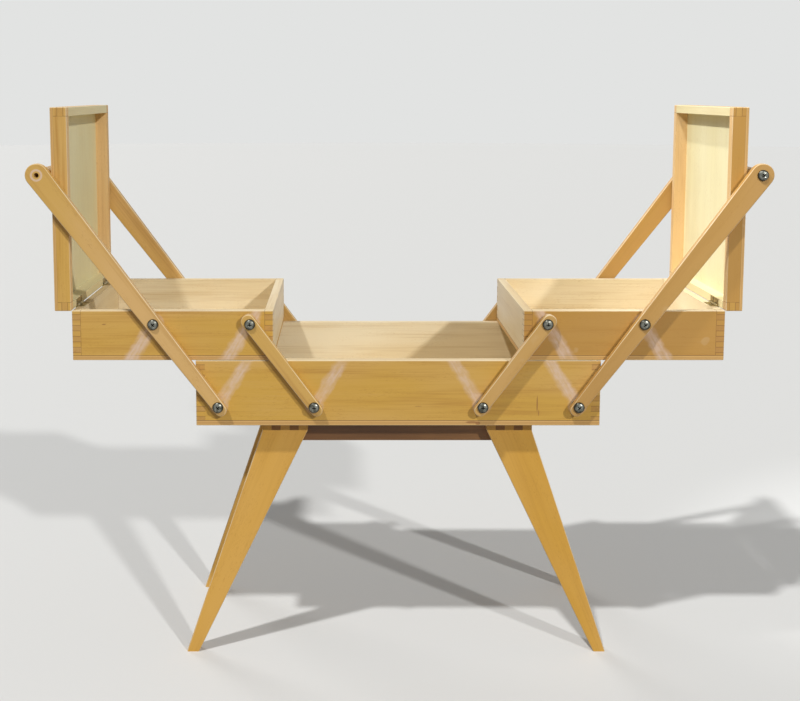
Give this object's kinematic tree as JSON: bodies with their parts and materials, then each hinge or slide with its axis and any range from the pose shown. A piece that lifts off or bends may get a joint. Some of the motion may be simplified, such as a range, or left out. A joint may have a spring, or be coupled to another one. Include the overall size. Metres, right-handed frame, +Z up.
{
  "type": "cantilever sewing box",
  "caption": "Beech cantilever sewing box on splayed legs: a base box and lidded trays that swing out on parallel arms, shown open.",
  "frame": {"origin": "on the floor under the middle of the base box", "axes": "+X along the box to its right, -Y towards its front, +Z up"},
  "size_m": [0.758, 0.2248, 0.5853],
  "materials": {
    "beech_boards": "clear-lacquered beech, satin, worn along the arms",
    "beech_arms": "clear-lacquered beech, satin",
    "beech_handles": "clear-lacquered beech, polished by hands",
    "beech_stand": "clear-lacquered beech, satin",
    "thin_panels": "pale plywood panel, satin",
    "steel_screws": "nickel-plated steel, dulled",
    "steel_washers": "plain steel",
    "bronzed_hinges": "dark bronzed brass, rubbed",
    "hinge_screws": "dark bronzed brass"
  },
  "bodies": {
    "base": {"base_front_board": "beech_boards", "base_rear_board": "beech_boards", "base_left_end": "beech_boards", "base_right_end": "beech_boards", "base_floor": "thin_panels", "base_pivot_screws": "steel_screws", "base_pivot_washers": "steel_washers", "front_left_leg": "beech_stand", "rear_left_leg": "beech_stand", "front_right_leg": "beech_stand", "rear_right_leg": "beech_stand", "left_cross_board": "beech_stand", "right_cross_board": "beech_stand", "front_rail": "beech_stand", "rear_rail": "beech_stand", "stand_screws": "steel_screws"},
    "left_long_arms": {"left_front_long_arm": "beech_arms", "left_rear_long_arm": "beech_arms", "left_handle_bar": "beech_handles", "left_handle_screws": "steel_screws"},
    "left_short_arms": {"left_front_short_arm": "beech_arms", "left_rear_short_arm": "beech_arms"},
    "left_tray": {"left_tray_front_board": "beech_boards", "left_tray_rear_board": "beech_boards", "left_tray_outer_end": "beech_boards", "left_tray_inner_end": "beech_boards", "left_tray_floor": "thin_panels", "left_tray_pivot_screws": "steel_screws", "left_tray_pivot_washers": "steel_washers", "left_hinge_tray_leaves": "bronzed_hinges", "left_hinge_tray_screws": "hinge_screws"},
    "left_lid": {"left_lid_front_board": "beech_boards", "left_lid_rear_board": "beech_boards", "left_lid_hinge_end": "beech_boards", "left_lid_free_end": "beech_boards", "left_lid_panel": "thin_panels", "left_hinge_lid_leaves": "bronzed_hinges", "left_hinge_lid_screws": "hinge_screws"},
    "right_long_arms": {"right_front_long_arm": "beech_arms", "right_rear_long_arm": "beech_arms", "right_handle_bar": "beech_handles", "right_handle_screws": "steel_screws"},
    "right_short_arms": {"right_front_short_arm": "beech_arms", "right_rear_short_arm": "beech_arms"},
    "right_tray": {"right_tray_front_board": "beech_boards", "right_tray_rear_board": "beech_boards", "right_tray_outer_end": "beech_boards", "right_tray_inner_end": "beech_boards", "right_tray_floor": "thin_panels", "right_tray_pivot_screws": "steel_screws", "right_tray_pivot_washers": "steel_washers", "right_hinge_tray_leaves": "bronzed_hinges", "right_hinge_tray_screws": "hinge_screws"},
    "right_lid": {"right_lid_front_board": "beech_boards", "right_lid_rear_board": "beech_boards", "right_lid_hinge_end": "beech_boards", "right_lid_free_end": "beech_boards", "right_lid_panel": "thin_panels", "right_hinge_lid_leaves": "bronzed_hinges", "right_hinge_lid_screws": "hinge_screws"}
  },
  "joints": [
    {"name": "left_long_arms_swing", "type": "hinge", "parent": "base", "child": "left_long_arms", "pos_m": [-0.18632, 0, 0.2767], "axis": [0, 1, 0], "range_deg": [0, 72]},
    {"name": "left_short_arms_swing", "type": "hinge", "parent": "base", "child": "left_short_arms", "pos_m": [-0.08711, 0, 0.2767], "axis": [0, 1, 0], "range_deg": [0, 72]},
    {"name": "left_tray_pivot", "type": "hinge", "parent": "left_long_arms", "child": "left_tray", "pos_m": [-0.25187, 0, 0.3637], "axis": [0, 1, 0], "range_deg": [-72, 0]},
    {"name": "left_lid_hinge", "type": "hinge", "parent": "left_tray", "child": "left_lid", "pos_m": [-0.33724, 0, 0.3765], "axis": [0, 1, 0], "range_deg": [0, 90]},
    {"name": "right_long_arms_swing", "type": "hinge", "parent": "base", "child": "right_long_arms", "pos_m": [0.18632, 0, 0.2767], "axis": [0, -1, 0], "range_deg": [0, 72]},
    {"name": "right_short_arms_swing", "type": "hinge", "parent": "base", "child": "right_short_arms", "pos_m": [0.08711, 0, 0.2767], "axis": [0, -1, 0], "range_deg": [0, 72]},
    {"name": "right_tray_pivot", "type": "hinge", "parent": "right_long_arms", "child": "right_tray", "pos_m": [0.25187, 0, 0.3637], "axis": [0, -1, 0], "range_deg": [-72, 0]},
    {"name": "right_lid_hinge", "type": "hinge", "parent": "right_tray", "child": "right_lid", "pos_m": [0.33724, 0, 0.3765], "axis": [0, -1, 0], "range_deg": [0, 90]}
  ],
  "couplings": [
    {"joint": "left_short_arms_swing", "follows": "left_long_arms_swing", "ratio": 1},
    {"joint": "left_tray_pivot", "follows": "left_long_arms_swing", "ratio": -1},
    {"joint": "left_lid_hinge", "follows": "left_long_arms_swing", "ratio": 1.25},
    {"joint": "right_short_arms_swing", "follows": "right_long_arms_swing", "ratio": 1},
    {"joint": "right_tray_pivot", "follows": "right_long_arms_swing", "ratio": -1},
    {"joint": "right_lid_hinge", "follows": "right_long_arms_swing", "ratio": 1.25}
  ]
}
